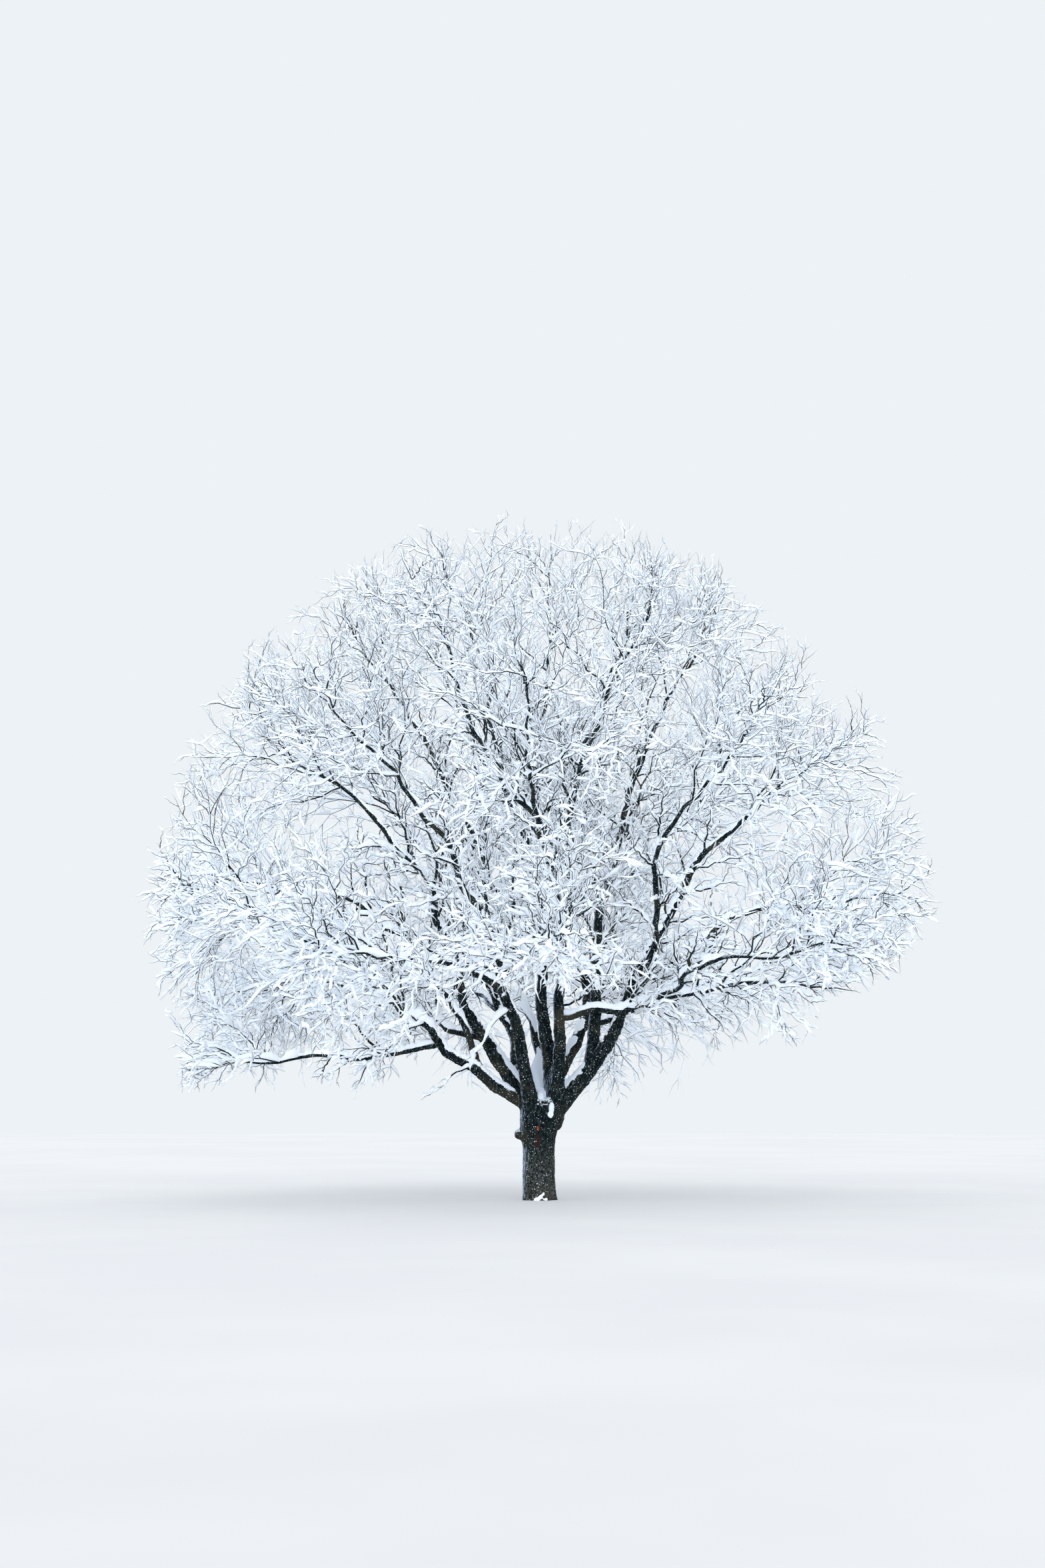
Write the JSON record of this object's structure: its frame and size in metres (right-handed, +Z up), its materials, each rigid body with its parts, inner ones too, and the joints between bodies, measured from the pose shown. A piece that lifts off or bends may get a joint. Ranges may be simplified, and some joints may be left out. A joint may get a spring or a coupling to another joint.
{
  "type": "bare winter tree",
  "caption": "Open-grown broadleaved tree in winter: short flared trunk, fanning boughs and a round dome of bare twigs laden with snow.",
  "frame": {"origin": "middle of the flat cut under the trunk, at ground level, where the tree is fixed in the ground", "axes": "+Z up, +X to the right as seen from the front, along the crown's widest spread, +Y towards the back"},
  "size_m": [16.3939, 15.9484, 14.0113],
  "materials": {
    "bark": "rough, furrowed, damp",
    "twigs": "thin bare twigs under snow",
    "snow": "fresh matte snow"
  },
  "bodies": {
    "root": {"trunk": "bark", "left_arm": "bark", "left_low": "bark", "front_left_arm": "bark", "leader": "bark", "front_stem": "bark", "right_arm": "bark", "back_right_arm": "bark", "back_left_arm": "bark", "left_level": "bark", "left_second": "bark", "left_mid": "bark", "front_left_low": "bark", "leader_left": "bark", "right_level": "bark", "front_low": "bark", "front_high": "bark", "front_left_high": "bark", "right_upright": "bark", "right_mid": "bark", "right_front": "bark", "right_front_low": "bark", "back_right_low": "bark", "back_low": "bark", "back_left_low": "bark", "back_high": "bark", "back_right_high": "bark", "back_left_high": "bark", "top_left": "bark", "top_right": "bark", "twigs_left_arm": "twigs", "twigs_left_low": "twigs", "twigs_front_left_arm": "twigs", "twigs_leader": "twigs", "twigs_front_stem": "twigs", "twigs_right_arm": "twigs", "twigs_back_right_arm": "twigs", "twigs_back_left_arm": "twigs", "twigs_left_level": "twigs", "twigs_left_second": "twigs", "twigs_left_mid": "twigs", "twigs_front_left_low": "twigs", "twigs_leader_left": "twigs", "twigs_right_level": "twigs", "twigs_front_low": "twigs", "twigs_front_high": "twigs", "twigs_front_left_high": "twigs", "twigs_right_upright": "twigs", "twigs_right_mid": "twigs", "twigs_right_front": "twigs", "twigs_right_front_low": "twigs", "twigs_back_right_low": "twigs", "twigs_back_low": "twigs", "twigs_back_left_low": "twigs", "twigs_back_high": "twigs", "twigs_back_right_high": "twigs", "twigs_back_left_high": "twigs", "twigs_top_left": "twigs", "twigs_top_right": "twigs", "snow_in_head": "snow"}
  },
  "joints": []
}
